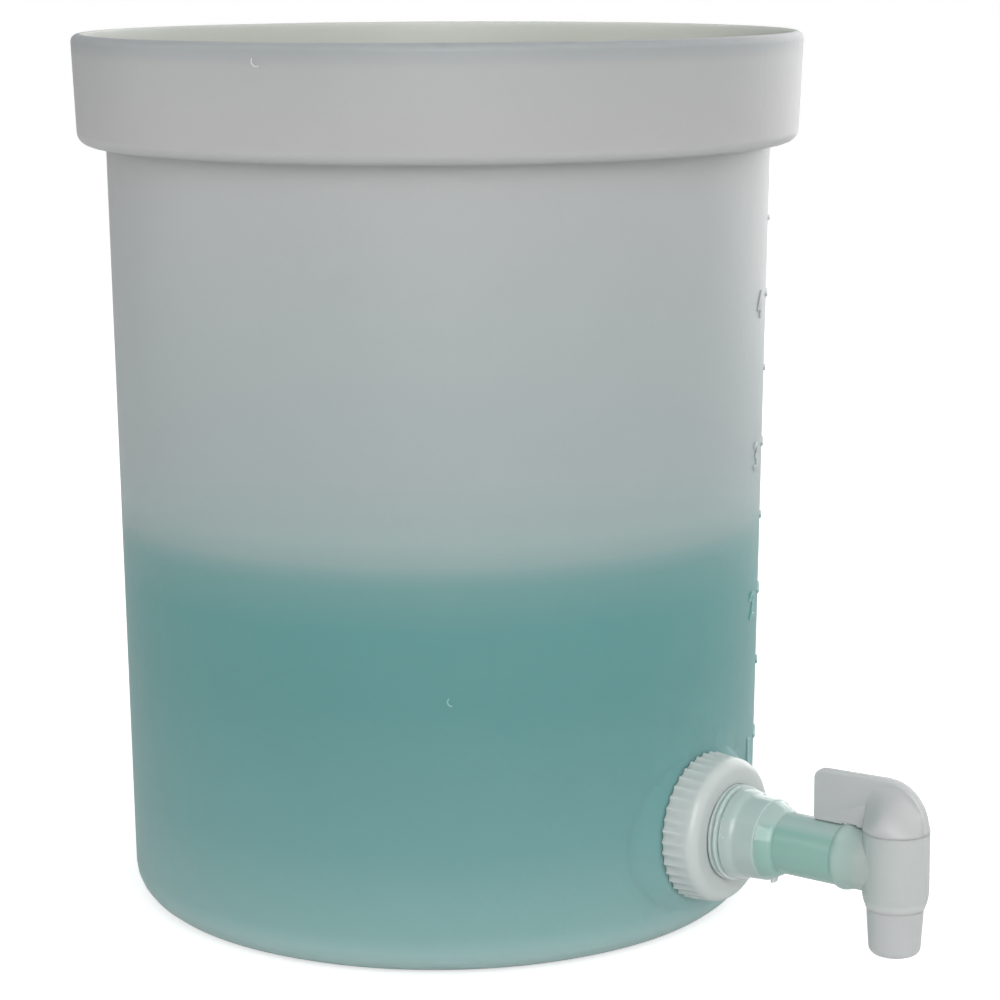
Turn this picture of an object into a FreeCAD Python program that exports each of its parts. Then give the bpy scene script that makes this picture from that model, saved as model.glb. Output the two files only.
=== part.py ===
import FreeCAD, Part
import os
import Sketcher
from FreeCAD import Placement, Rotation, Vector

# Open laboratory tank with a screwed-in plastic spigot, in millimetres.
# The origin is the centre of the tank's base, +Z is up and the spigot points along +X.

doc = FreeCAD.newDocument("tank_with_spigot")
dims = doc.addObject("Spreadsheet::Sheet", "dims")

# Driving dimensions: alias, value, meaning.
SIZES = [
    ("tank_height", 242, "base to the top of the rim"),
    ("base_radius", 88, "outside of the wall, run down to the base plane"),
    ("wall_flare", 3.8, "how much further out the wall is under the band than at the base"),
    ("wall", 2.8, "thickness of the tank everywhere"),
    ("base_round", 9, "outside corner between wall and base"),
    ("band_height", 30, "height of the stepped-out rim band"),
    ("band_step", 7.7, "how far the band's lower edge stands out from the wall"),
    ("band_flare", 1.3, "how much further out the band is at the rim"),
    ("band_foot_bevel", 2.2, "bevel of the band's lower outside corner"),
    ("band_root_bevel", 1.2, "bevel of the corner between the wall and the band"),
    ("rim_bevel", 1.3, "outside corner of the rim"),
    ("mark_zero", 2, "height at which the volume scale starts"),
    ("litre_height", 41.8, "height of one litre on the scale"),
    ("mark_rise", 0.5, "how far a mark stands out of the wall"),
    ("mark_width", 1.2, "height of one mark"),
    ("mark_angle", 32, "where the scale is, round from the spigot, in degrees"),
    ("litre_mark_span", 8, "angle of a whole-litre mark, in degrees"),
    ("half_mark_span", 4.5, "angle of a half-litre mark, in degrees"),
    ("spigot_height", 31, "spigot axis above the base"),
    ("seat_radius", 18.5, "flat round seat for the spigot, inside and outside"),
    ("seat_proud", 0.35, "how far the outer seat stands out of the wall at its middle"),
    ("seat_sunk", 0.2, "how far the inner seat stands in past the curve of the wall"),
    ("shank_clearance", 0.3, "play of the shank in its hole in the wall and in the gasket"),
    ("gasket_thickness", 2.5, "inner washer"),
    ("gasket_radius", 17, "outside of the inner washer"),
    ("flange_radius", 17, "inner flange of the spigot"),
    ("flange_thickness", 3, "inner flange of the spigot"),
    ("thread_radius", 12.68, "outside of the shank's thread"),
    ("thread_end", 12.9, "end of the thread, out from the wall's seat"),
    ("neck_radius", 12.1, "plain shank after the thread"),
    ("neck_end", 16.4, "end of that neck, out from the seat"),
    ("neck_step", 0.5, "length of the step down to the barrel"),
    ("barrel_radius", 11, "narrower barrel after the neck"),
    ("barrel_end", 22.7, "end of the barrel, out from the seat"),
    ("barrel_draft", 0.35, "how much the barrel narrows along its length"),
    ("flange_bevel", 0.8, "bevelled edge of the inner flange"),
    ("cone_length", 3.6, "cone between barrel and tube"),
    ("cone_radius", 8.6, "small end of that cone"),
    ("cone_toe", 0.8, "length of the steep step from the cone to the tube"),
    ("tube_radius", 8.1, "outside of the outlet tube"),
    ("bore_radius", 5.8, "bore of shank and tube"),
    ("bead_place", 46.1, "middle of the bead on the tube, out from the seat"),
    ("bead_rise", 0.75, "how far the bead stands out of the tube"),
    ("bead_crown", 1.3, "width of the bead's crown"),
    ("bead_foot", 3.6, "width of the bead at the tube"),
    ("reach", 59.45, "valve axis, out from the seat"),
    ("sleeve_radius", 8.65, "outside of the upright sleeve"),
    ("sleeve_top", 9.4, "top of the sleeve above the spigot axis"),
    ("sleeve_foot", 10.8, "bottom of the sleeve below the spigot axis"),
    ("sleeve_taper", 2.9, "height of the tapered foot of the sleeve"),
    ("sleeve_lip", 0.55, "wall of the sleeve at its lower lip"),
    ("plug_radius", 7.35, "plug inside the sleeve"),
    ("plug_fit", 0.05, "radial running clearance of the plug in the sleeve"),
    ("head_gap", 0.2, "gap between the plug's head and the sleeve"),
    ("head_radius", 9, "round head of the plug"),
    ("head_height", 3, "round head of the plug"),
    ("head_bevel", 0.7, "bevelled upper edge of the head"),
    ("nozzle_drop", 23.3, "bottom of the nozzle below the spigot axis"),
    ("nozzle_radius", 6.35, "outside of the nozzle at its bottom"),
    ("nozzle_bevel", 1.3, "bevelled bottom edge of the nozzle"),
    ("nozzle_bore", 4.3, "bore of the plug and nozzle"),
    ("plug_roof", 3, "solid plug left above its bore, under the sleeve's top"),
    ("port_radius", 3.8, "side port of the plug"),
    ("blade_thickness", 2.6, "blade handle"),
    ("blade_reach", 24.1, "free end of the blade from the valve axis"),
    ("blade_height", 12.6, "blade over the valve axis, above the sleeve"),
    ("blade_fall", 0.7, "how much lower the blade's free end is"),
    ("blade_outer_round", 10.5, "large corner of the blade over the sleeve"),
    ("blade_free_round", 3, "corner of the blade's free end"),
    ("blade_bevel", 0.6, "bevel all round the blade"),
    ("nut_radius", 20, "nut over its ribs, at the wall"),
    ("nut_depth", 9.85, "nut along its axis"),
    ("nut_draft", 0.9, "how much the nut narrows along its length"),
    ("nut_shoulder", 2, "bevelled shoulder of the nut"),
    ("nut_thread_fit", 0.08, "clearance of the nut on the thread"),
    ("nut_mouth_bevel", 0.5, "edge of the nut's mouth"),
    ("rib_count", 40, "ribs round the nut"),
    ("rib_depth", 1, "depth of the flutes between the ribs, at the wall"),
    ("rib_flute", 2.7, "width of a flute at the wall"),
    ("rib_length", 8.4, "flutes run out this far from the wall"),
    ("liquid_level", 107, "surface of the liquid above the base"),
    ("liquid_gap", 0.35, "film between the modelled liquid and what holds it"),
]

# Worked out from the sizes above.
FORMULAS = [
    ("arc_middle", "1 - sqrt(2) / 2", "middle of a quarter arc from each of its walls, over its radius"),
    ("band_foot", "tank_height - band_height", "height of the band's lower edge"),
    ("shoulder_radius", "base_radius + wall_flare", "outside of the wall under the band"),
    ("band_foot_radius", "shoulder_radius + band_step", "outside of the band at its lower edge"),
    ("band_top_radius", "band_foot_radius + band_flare", "outside of the band at the rim"),
    ("wall_slope", "wall_flare / (tank_height - band_height)", "taper of the wall"),
    ("spigot_wall", "base_radius + wall_slope * spigot_height", "outside of the wall at the spigot"),
    ("seat", "spigot_wall + seat_proud", "outer seat plane, from the tank's axis"),
    ("inner_seat", "sqrt((spigot_wall - wall)^2 - seat_radius^2) - seat_sunk", "inner seat plane"),
    ("flange_face", "inner_seat - gasket_thickness - seat", "gasket side of the flange, from the seat"),
    ("flange_back", "flange_face - flange_thickness", "wet side of the flange, from the seat"),
    ("valve_axis", "seat + reach", "valve axis from the tank's axis"),
    ("inner_round", "base_round - wall", "inside corner between wall and floor"),
    ("liquid_foot", "wall + liquid_gap", "underside of the liquid"),
    ("liquid_radius", "base_radius + wall_slope * liquid_foot - liquid_foot", "liquid against the wall, at its foot"),
    ("head_seat", "sleeve_top + head_gap", "underside of the plug's head, above the spigot axis"),
]


def fill_sheet():
    for row, (alias, value, meaning) in enumerate(SIZES + FORMULAS, start=1):
        text = str(value)
        if (alias, value, meaning) in FORMULAS:
            text = "=" + text
        dims.set(f"A{row}", meaning)
        dims.set(f"B{row}", text)
        dims.setAlias(f"B{row}", alias)
    doc.recompute()


def linked(text):
    """An expression over the sheet's aliases, as another object has to write it."""
    aliases = [row[0] for row in SIZES + FORMULAS]
    words = []
    word = ""
    for letter in text + " ":
        if letter.isalnum() or letter == "_":
            word += letter
        else:
            words.append("dims." + word if word in aliases else word)
            words.append(letter)
            word = ""
    return "".join(words).strip()


def size(text):
    """The present value of an expression over the sheet's aliases."""
    return float(dims.evalExpression(linked(text)))


def bind(thing, prop, text):
    thing.setExpression(prop, linked(text))


def new_body(label):
    body = doc.addObject("PartDesign::Body", label.title().replace("_", ""))
    body.Label = label
    return body


def plane_of(body, role):
    return next(item for item in body.Origin.OriginFeatures if item.Role == role)


def new_sketch(body, name, role):
    sketch = body.newObject("Sketcher::SketchObject", name)
    sketch.AttachmentSupport = [(plane_of(body, role), "")]
    sketch.MapMode = "FlatFace"
    return sketch


def fix(sketch, line, end, way, text, number):
    """Hold one end of a line at a distance from the sketch's origin."""
    if text == "0":
        axis = -2 if way == "DistanceX" else -1
        sketch.addConstraint(Sketcher.Constraint("PointOnObject", line, end, axis))
        return
    index = sketch.addConstraint(Sketcher.Constraint(way, -1, 1, line, end, size(text)))
    name = f"{way[-1].lower()}{number}"
    sketch.renameConstraint(index, name)
    bind(sketch, f"Constraints.{name}", text)


def add_outline(sketch, corners, tag=""):
    """A closed outline of straight lines, each corner a pair of expressions."""
    places = [Vector(size(x), size(y), 0) for x, y in corners]
    first = sketch.GeometryCount
    count = len(corners)
    for number in range(count):
        line = Part.LineSegment(places[number], places[(number + 1) % count])
        sketch.addGeometry(line, False)
    for number in range(count):
        after = first + (number + 1) % count
        sketch.addConstraint(Sketcher.Constraint("Coincident", first + number, 2, after, 1))
    for number, (x, y) in enumerate(corners):
        fix(sketch, first + number, 1, "DistanceX", x, f"{tag}{number}")
        fix(sketch, first + number, 1, "DistanceY", y, f"{tag}{number}")


def add_circle(sketch, x, y, radius, name="radius"):
    circle = sketch.addGeometry(Part.Circle(Vector(size(x), size(y), 0), Vector(0, 0, 1), size(radius)), False)
    fix(sketch, circle, 3, "DistanceX", x, name)
    fix(sketch, circle, 3, "DistanceY", y, name)
    index = sketch.addConstraint(Sketcher.Constraint("Radius", circle, size(radius)))
    sketch.renameConstraint(index, name)
    bind(sketch, f"Constraints.{name}", radius)


def turn_outline(body, name, sketch, axis, kind="Revolution"):
    feature = body.newObject(f"PartDesign::{kind}", name)
    feature.Profile = sketch
    feature.ReferenceAxis = (sketch, [axis])
    feature.Angle = 360
    doc.recompute()
    return feature


def round_edges(body, name, base, edges, radius):
    feature = body.newObject("PartDesign::Fillet", name)
    feature.Base = (base, edges)
    bind(feature, "Radius", radius)
    doc.recompute()
    return feature


def bevel_edges(body, name, base, edges, width):
    feature = body.newObject("PartDesign::Chamfer", name)
    feature.Base = (base, edges)
    bind(feature, "Size", width)
    doc.recompute()
    return feature


def ring_edges(feature, radius, along, place):
    """Names of the circular edges of one radius whose centre lies at one place along X, Y or Z."""
    wanted = size(radius)
    level = size(place)
    names = []
    for number, edge in enumerate(feature.Shape.Edges, start=1):
        if edge.Degenerated or not isinstance(edge.Curve, Part.Circle):
            continue
        curve = edge.Curve
        if abs(curve.Radius - wanted) < 0.01 and abs(getattr(curve.Center, along) - level) < 0.01:
            names.append(f"Edge{number}")
    return names


def cut_more(body, feature, before):
    """A cut has to take material away."""
    doc.recompute()
    if feature.Shape.Volume >= before.Shape.Volume - 1e-6:
        raise RuntimeError(f"{feature.Name} cuts nothing")
    return feature


def cut_through(body, name, circle, before):
    """A straight hole from a sketch's plane out through everything behind it."""
    feature = body.newObject("PartDesign::Pocket", name)
    feature.Profile = circle
    feature.Type = "ThroughAll"
    return cut_more(body, feature, before)


fill_sheet()


# Tank: a tapered round wall with a stepped-out rim band, turned as a solid and then hollowed from the top.
tank = new_body("tank")
tank_outline = new_sketch(tank, "TankOutline", "XZ_Plane")
add_outline(tank_outline, [
    ("0", "0"),
    ("base_radius - base_round", "0"),
    ("base_radius - base_round * arc_middle", "base_round * arc_middle"),
    ("base_radius + base_round * wall_slope", "base_round"),
    ("shoulder_radius", "band_foot"),
    ("band_foot_radius", "band_foot"),
    ("band_top_radius", "tank_height"),
    ("0", "tank_height"),
])
tank_block = turn_outline(tank, "TankBlock", tank_outline, "V_Axis")
tank_top = max(range(len(tank_block.Shape.Faces)), key=lambda n: tank_block.Shape.Faces[n].CenterOfMass.z)
tank_shell = tank.newObject("PartDesign::Thickness", "TankShell")
tank_shell.Base = (tank_block, [f"Face{tank_top + 1}"])
tank_shell.Mode = "Skin"
tank_shell.Join = "Intersection"
tank_shell.Reversed = True
bind(tank_shell, "Value", "wall")
cut_more(tank, tank_shell, tank_block)

foot_corner = ring_edges(tank_shell, "band_foot_radius", "z", "band_foot")
tank_foot = bevel_edges(tank, "BandFootBevel", tank_shell, foot_corner, "band_foot_bevel")
root_corner = ring_edges(tank_foot, "shoulder_radius", "z", "band_foot")
tank_root = bevel_edges(tank, "BandRootBevel", tank_foot, root_corner, "band_root_bevel")
rim_corner = ring_edges(tank_root, "band_top_radius", "z", "tank_height")
bevel_edges(tank, "RimBevel", tank_root, rim_corner, "rim_bevel")

# Flat round seat for the spigot: it fills the curve of the wall between two planes.
seat_circle = new_sketch(tank, "SeatCircle", "YZ_Plane")
bind(seat_circle, "AttachmentOffset.Base.z", "inner_seat")
add_circle(seat_circle, "0", "spigot_height", "seat_radius")
tank_seat = tank.newObject("PartDesign::Pad", "SpigotSeat")
tank_seat.Profile = seat_circle
bind(tank_seat, "Length", "seat - inner_seat")
doc.recompute()


def add_marks(name, numbers, span):
    """Raised marks round part of the wall, one small section per mark, all turned in one feature."""
    sections = new_sketch(tank, f"{name}Sections", "XZ_Plane")
    turned = linked("mark_angle")
    sections.AttachmentOffset = Placement(Vector(), Rotation(Vector(0, 1, 0), size("mark_angle")))
    sections.setExpression("AttachmentOffset.Rotation.Angle", turned)
    for count, number in enumerate(numbers):
        middle = f"mark_zero + litre_height * {number}"
        low = f"{middle} - mark_width / 2"
        high = f"{middle} + mark_width / 2"
        outer = f"base_radius + wall_slope * ({middle})"
        add_outline(sections, [
            (f"{outer} - wall / 2", low),
            (f"{outer} + mark_rise", low),
            (f"{outer} + mark_rise", high),
            (f"{outer} - wall / 2", high),
        ], f"m{count}_")
    marks = tank.newObject("PartDesign::Revolution", name)
    marks.Profile = sections
    marks.ReferenceAxis = (sections, ["V_Axis"])
    marks.Midplane = True
    bind(marks, "Angle", span)
    doc.recompute()
    return marks


litre_marks = add_marks("LitreMarks", [1, 2, 3, 4], "litre_mark_span")
half_marks = add_marks("HalfMarks", [0.5, 1.5, 2.5, 3.5, 4.5], "half_mark_span")

shank_hole = new_sketch(tank, "ShankHoleCircle", "YZ_Plane")
bind(shank_hole, "AttachmentOffset.Base.z", "seat")
add_circle(shank_hole, "0", "spigot_height", "thread_radius + shank_clearance")
tank_hole = tank.newObject("PartDesign::Pocket", "ShankHole")
tank_hole.Profile = shank_hole
bind(tank_hole, "Length", "base_radius")
cut_more(tank, tank_hole, half_marks)


# Spigot body: flange, threaded shank, barrel, tube, bead and upright sleeve in one moulding.
# Its own origin lies on the spigot's axis at the tank's outer seat.
spigot = new_body("spigot_body")
spigot_outline = new_sketch(spigot, "SpigotOutline", "XZ_Plane")
add_outline(spigot_outline, [
    ("flange_back", "0"),
    ("flange_back", "flange_radius - flange_bevel"),
    ("flange_back + flange_bevel", "flange_radius"),
    ("flange_face", "flange_radius"),
    ("flange_face", "thread_radius"),
    ("thread_end", "thread_radius"),
    ("thread_end + thread_radius - neck_radius", "neck_radius"),
    ("neck_end", "neck_radius"),
    ("neck_end + neck_step", "barrel_radius"),
    ("barrel_end", "barrel_radius - barrel_draft"),
    ("barrel_end + cone_length", "cone_radius"),
    ("barrel_end + cone_length + cone_toe", "tube_radius"),
    ("bead_place - bead_foot / 2", "tube_radius"),
    ("bead_place - bead_crown / 2", "tube_radius + bead_rise"),
    ("bead_place + bead_crown / 2", "tube_radius + bead_rise"),
    ("bead_place + bead_foot / 2", "tube_radius"),
    ("reach", "tube_radius"),
    ("reach", "0"),
])
turn_outline(spigot, "SpigotTurned", spigot_outline, "H_Axis")

sleeve_outline = new_sketch(spigot, "SleeveOutline", "XZ_Plane")
bind(sleeve_outline, "AttachmentOffset.Base.x", "reach")
add_outline(sleeve_outline, [
    ("0", "-sleeve_foot"),
    ("plug_radius + plug_fit + sleeve_lip", "-sleeve_foot"),
    ("sleeve_radius", "sleeve_taper - sleeve_foot"),
    ("sleeve_radius", "sleeve_top"),
    ("0", "sleeve_top"),
])
spigot_sleeve = turn_outline(spigot, "Sleeve", sleeve_outline, "V_Axis")

socket_circle = new_sketch(spigot, "PlugSocketCircle", "XY_Plane")
bind(socket_circle, "AttachmentOffset.Base.z", "sleeve_top")
add_circle(socket_circle, "reach", "0", "plug_radius + plug_fit")
spigot_socket = cut_through(spigot, "PlugSocket", socket_circle, spigot_sleeve)

bore_circle = new_sketch(spigot, "BoreCircle", "YZ_Plane")
bind(bore_circle, "AttachmentOffset.Base.z", "reach")
add_circle(bore_circle, "0", "0", "bore_radius")
cut_through(spigot, "Bore", bore_circle, spigot_socket)


# Valve plug: blade handle, round head, hollow tapered plug with one side port, and the nozzle below it.
# Its own origin lies where the valve's axis crosses the spigot's axis.
plug = new_body("valve_plug")
blade_outline = new_sketch(plug, "BladeOutline", "XZ_Plane")
add_outline(blade_outline, [
    ("-blade_reach", "head_seat"),
    ("head_radius", "head_seat"),
    ("head_radius", "head_seat + blade_height"),
    ("0", "head_seat + blade_height"),
    ("-blade_reach", "head_seat + blade_height - blade_fall"),
])
blade = plug.newObject("PartDesign::Pad", "Blade")
blade.Profile = blade_outline
blade.Midplane = True
bind(blade, "Length", "blade_thickness")
doc.recompute()


def upright_corner(feature, x, z):
    """Names of the edges that run through the blade's thickness at one corner of its outline."""
    names = []
    for number, edge in enumerate(feature.Shape.Edges, start=1):
        middle = edge.CenterOfMass
        if abs(middle.x - size(x)) < 0.01 and abs(middle.z - size(z)) < 0.01 and abs(middle.y) < 0.01:
            names.append(f"Edge{number}")
    return names


outer_corner = upright_corner(blade, "head_radius", "head_seat + blade_height")
blade_outer = round_edges(plug, "BladeOuterRound", blade, outer_corner, "blade_outer_round")
free_corner = upright_corner(blade_outer, "-blade_reach", "head_seat + blade_height - blade_fall")
blade_free = round_edges(plug, "BladeFreeRound", blade_outer, free_corner, "blade_free_round")
blade_rim = [f"Edge{n}" for n, edge in enumerate(blade_free.Shape.Edges, start=1)
             if abs(abs(edge.CenterOfMass.y) - size("blade_thickness / 2")) < 0.01
             and not abs(edge.CenterOfMass.z - size("head_seat")) < 0.01]
bevel_edges(plug, "BladeBevel", blade_free, blade_rim, "blade_bevel")

plug_outline = new_sketch(plug, "PlugOutline", "XZ_Plane")
add_outline(plug_outline, [
    ("0", "-nozzle_drop"),
    ("nozzle_radius - nozzle_bevel", "-nozzle_drop"),
    ("nozzle_radius", "nozzle_bevel - nozzle_drop"),
    ("plug_radius", "-sleeve_foot"),
    ("plug_radius", "head_seat"),
    ("head_radius", "head_seat"),
    ("head_radius", "head_seat + head_height - head_bevel"),
    ("head_radius - head_bevel", "head_seat + head_height"),
    ("0", "head_seat + head_height"),
])
plug_turned = turn_outline(plug, "PlugTurned", plug_outline, "V_Axis")

bore_outline = new_sketch(plug, "NozzleBoreCircle", "XY_Plane")
bind(bore_outline, "AttachmentOffset.Base.z", "sleeve_top - plug_roof")
add_circle(bore_outline, "0", "0", "nozzle_bore")
plug_bore = cut_through(plug, "NozzleBore", bore_outline, plug_turned)

# The port looks sideways while the blade lies over the tube, so the valve is shut at rest.
port_circle = new_sketch(plug, "PortCircle", "XZ_Plane")
add_circle(port_circle, "0", "0", "port_radius")
cut_through(plug, "Port", port_circle, plug_bore)


# Nut: a turned blank with its threaded bore, fluted round the outside from the wall end.
nut = new_body("spigot_nut")
nut_outline = new_sketch(nut, "NutOutline", "XZ_Plane")
add_outline(nut_outline, [
    ("0", "thread_radius + nut_thread_fit"),
    ("nut_depth - nut_mouth_bevel", "thread_radius + nut_thread_fit"),
    ("nut_depth", "thread_radius + nut_thread_fit + nut_mouth_bevel"),
    ("nut_depth", "nut_radius - nut_draft - nut_shoulder"),
    ("nut_depth - nut_shoulder", "nut_radius - nut_draft"),
    ("0", "nut_radius"),
])
nut_blank = turn_outline(nut, "NutBlank", nut_outline, "H_Axis")

# One V flute is cut along a line that climbs to the nut's surface, and is then repeated round the nut.
flute_section = new_sketch(nut, "FluteSection", "YZ_Plane")
add_outline(flute_section, [
    ("-rib_flute", "nut_radius + rib_depth"),
    ("0", "nut_radius - rib_depth"),
    ("rib_flute", "nut_radius + rib_depth"),
])
flute = nut.newObject("PartDesign::Pocket", "Flute")
flute.Profile = flute_section
flute.UseCustomVector = True
flute.Direction = Vector(size("rib_length"), 0, size("rib_depth"))
bind(flute, "Direction.x", "rib_length")
bind(flute, "Direction.z", "rib_depth")
bind(flute, "Length", "rib_length + rib_depth")
cut_more(nut, flute, nut_blank)
flutes = nut.newObject("PartDesign::PolarPattern", "Flutes")
flutes.Originals = [flute]
flutes.Axis = (flute_section, ["N_Axis"])
flutes.Angle = 360
bind(flutes, "Occurrences", "rib_count")
nut.Tip = flutes
cut_more(nut, flutes, flute)


# Gasket: a flat soft washer between the flange and the inside of the wall.
gasket_disc = doc.addObject("Part::Cylinder", "GasketDisc")
bind(gasket_disc, "Radius", "gasket_radius")
bind(gasket_disc, "Height", "gasket_thickness")
gasket_hole = doc.addObject("Part::Cylinder", "GasketHole")
bind(gasket_hole, "Radius", "thread_radius + shank_clearance")
bind(gasket_hole, "Height", "gasket_thickness")
gasket = doc.addObject("Part::Cut", "Gasket")
gasket.Label = "spigot_gasket"
gasket.Base = gasket_disc
gasket.Tool = gasket_hole
gasket.Placement = Placement(Vector(), Rotation(Vector(0, 1, 0), 90))
bind(gasket, "Placement.Base.x", "inner_seat - gasket_thickness")
bind(gasket, "Placement.Base.z", "spigot_height")


# Liquid: fills the tank up to its level and the spigot's bore as far as the plug.
liquid = new_body("liquid")
liquid_outline = new_sketch(liquid, "LiquidOutline", "XZ_Plane")
add_outline(liquid_outline, [
    ("0", "liquid_foot"),
    ("liquid_radius - inner_round", "liquid_foot"),
    ("liquid_radius - inner_round * arc_middle", "liquid_foot + inner_round * arc_middle"),
    ("liquid_radius + inner_round * wall_slope", "liquid_foot + inner_round"),
    ("liquid_radius + (liquid_level - liquid_foot) * wall_slope", "liquid_level"),
    ("0", "liquid_level"),
])
pool = turn_outline(liquid, "Pool", liquid_outline, "V_Axis")

recess_circle = new_sketch(liquid, "RecessCircle", "YZ_Plane")
bind(recess_circle, "AttachmentOffset.Base.z", "seat + flange_back - liquid_gap")
add_circle(recess_circle, "0", "spigot_height", "seat_radius + liquid_gap")
recess = liquid.newObject("PartDesign::Pocket", "SpigotRecess")
recess.Profile = recess_circle
recess.Reversed = True
bind(recess, "Length", "base_radius")
cut_more(liquid, recess, pool)

fill_circle = new_sketch(liquid, "BoreFillCircle", "YZ_Plane")
bind(fill_circle, "AttachmentOffset.Base.z", "seat + flange_back - flange_thickness")
add_circle(fill_circle, "0", "spigot_height", "bore_radius - liquid_gap")
bore_fill = liquid.newObject("PartDesign::Pad", "BoreFill")
bore_fill.Profile = fill_circle
bind(bore_fill, "Length", "reach - plug_radius - liquid_gap - flange_back + flange_thickness")


# The spigot's pieces are drawn about their own origins and stand at the wall's seat.
for piece, along in ((spigot, "seat"), (nut, "seat"), (plug, "valve_axis")):
    bind(piece, "Placement.Base.x", along)
    bind(piece, "Placement.Base.z", "spigot_height")
doc.recompute()

for item in doc.Objects:
    if "Invalid" in item.State or "Error" in item.State:
        raise RuntimeError(f"{item.Name} failed: {item.State}")

os.makedirs("parts", exist_ok=True)
for piece in (tank, spigot, plug, nut, gasket, liquid):
    shape = piece.Shape
    if shape.isNull() or not shape.isValid() or len(shape.Solids) != 1:
        raise RuntimeError(f"{piece.Label} is not one valid solid")
    shape.exportStep(f"parts/{piece.Label}.step")
    box = shape.BoundBox
    print(f"{piece.Label}: {shape.Volume / 1000:.2f} cm3, x {box.XMin:.2f} {box.XMax:.2f}, "
          f"y {box.YMin:.2f} {box.YMax:.2f}, z {box.ZMin:.2f} {box.ZMax:.2f}")
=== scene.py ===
import math
import bmesh
import bpy
from mathutils import Matrix, Vector


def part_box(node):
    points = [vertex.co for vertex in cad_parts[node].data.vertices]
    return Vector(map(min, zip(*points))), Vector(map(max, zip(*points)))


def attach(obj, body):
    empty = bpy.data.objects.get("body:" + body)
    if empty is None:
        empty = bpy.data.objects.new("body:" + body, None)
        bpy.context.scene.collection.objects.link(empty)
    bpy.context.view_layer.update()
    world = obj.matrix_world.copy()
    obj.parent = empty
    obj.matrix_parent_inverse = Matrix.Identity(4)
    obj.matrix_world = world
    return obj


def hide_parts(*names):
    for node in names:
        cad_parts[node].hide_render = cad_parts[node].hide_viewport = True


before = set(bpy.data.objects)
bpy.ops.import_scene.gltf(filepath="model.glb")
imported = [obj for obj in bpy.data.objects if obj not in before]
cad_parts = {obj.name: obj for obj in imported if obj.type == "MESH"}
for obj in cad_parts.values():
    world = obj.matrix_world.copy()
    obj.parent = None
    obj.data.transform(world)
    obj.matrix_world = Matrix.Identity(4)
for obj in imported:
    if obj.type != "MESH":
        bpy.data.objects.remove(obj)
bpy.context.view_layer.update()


# Studio: a plain white floor and surround, which show white to the camera and only faintly in the gloss of
# the plastic. The floor still takes the object's soft shadow.

def linear(code):
    """A colour written as sRGB hex, as the linear numbers that shaders take."""
    parts = [int(code[place:place + 2], 16) / 255 for place in (1, 3, 5)]
    return tuple(p / 12.92 if p <= 0.04045 else ((p + 0.055) / 1.055) ** 2.4 for p in parts) + (1.0,)


def add_node(tree, kind, inputs=None, **settings):
    """A shader node with its settings, each input either a value or another node's output."""
    node = tree.nodes.new("ShaderNode" + kind)
    for name, value in settings.items():
        setattr(node, name, value)
    for name, value in (inputs or {}).items():
        if isinstance(value, bpy.types.NodeSocket):
            tree.links.new(value, node.inputs[name])
        else:
            node.inputs[name].default_value = value
    return node


def new_material(name):
    """An empty node material, and its node tree."""
    material = bpy.data.materials.new(name)
    material.use_nodes = True
    material.node_tree.nodes.clear()
    return material, material.node_tree


def show_object(name, mesh):
    """An object in the scene that holds a mesh, lamp, lens or text."""
    thing = bpy.data.objects.new(name, mesh)
    bpy.context.scene.collection.objects.link(thing)
    return thing


FLOOR_RADIUS = 20.0
FLOOR_DROP = 0.0002
floor_mesh = bpy.data.meshes.new("floor")
floor_shape = bmesh.new()
bmesh.ops.create_circle(floor_shape, cap_ends=True, segments=64, radius=FLOOR_RADIUS,
                        matrix=Matrix.Translation((0, 0, -FLOOR_DROP)))
floor_shape.to_mesh(floor_mesh)
floor_shape.free()
floor = show_object("floor", floor_mesh)

GLOSS_SHARE = 0.1


def seen_white(tree):
    """How white the surround shows: fully to the camera and through clear things, by a tenth in a gloss."""
    path = add_node(tree, "LightPath")
    gloss = add_node(tree, "Math", {0: path.outputs["Is Glossy Ray"], 1: GLOSS_SHARE}, operation="MULTIPLY")
    seen = add_node(tree, "Math", {0: path.outputs["Is Camera Ray"], 1: gloss.outputs[0]},
                    operation="MAXIMUM")
    return add_node(tree, "Math", {0: seen.outputs[0], 1: path.outputs["Is Transmission Ray"]},
                    operation="MAXIMUM")


# Matt white board: it throws soft light up under the object, and a lift makes it show white to the camera.
FLOOR_LIFT = 0.6
floor_paint, tree = new_material("matt_white_board")
seen = seen_white(tree)
matt = add_node(tree, "BsdfDiffuse", {"Color": linear("#E8E8E8")})
lift = add_node(tree, "Math", {0: seen.outputs[0], 1: FLOOR_LIFT}, operation="MULTIPLY")
glow = add_node(tree, "Emission", {"Color": (1, 1, 1, 1), "Strength": lift.outputs[0]})
both = add_node(tree, "AddShader", {0: matt.outputs[0], 1: glow.outputs[0]})
add_node(tree, "OutputMaterial", {"Surface": both.outputs[0]})
floor.data.materials.append(floor_paint)

# The surround lights the object more from the right of the picture than from the left.
RIGHTWARD = (0.796, 0.606, 0)
LEFT_LEVEL = 0.24
RIGHT_LEVEL = 0.74
surround = bpy.data.worlds.new("white_surround")
surround.use_nodes = True
tree = surround.node_tree
tree.nodes.clear()
seen = seen_white(tree)
ways = add_node(tree, "TexCoord")
rightward = add_node(tree, "VectorMath", {0: ways.outputs["Generated"], 1: RIGHTWARD},
                     operation="DOT_PRODUCT")
level = add_node(tree, "MapRange", {"Value": rightward.outputs["Value"], "From Min": -1.0, "From Max": 1.0,
                                    "To Min": LEFT_LEVEL, "To Max": RIGHT_LEVEL})
soft = add_node(tree, "Background", {"Color": (1, 1, 1, 1), "Strength": level.outputs[0]})
white = add_node(tree, "Background", {"Color": (1, 1, 1, 1), "Strength": 1.0})
pick = add_node(tree, "MixShader", {0: seen.outputs[0], 1: soft.outputs[0], 2: white.outputs[0]})
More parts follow.
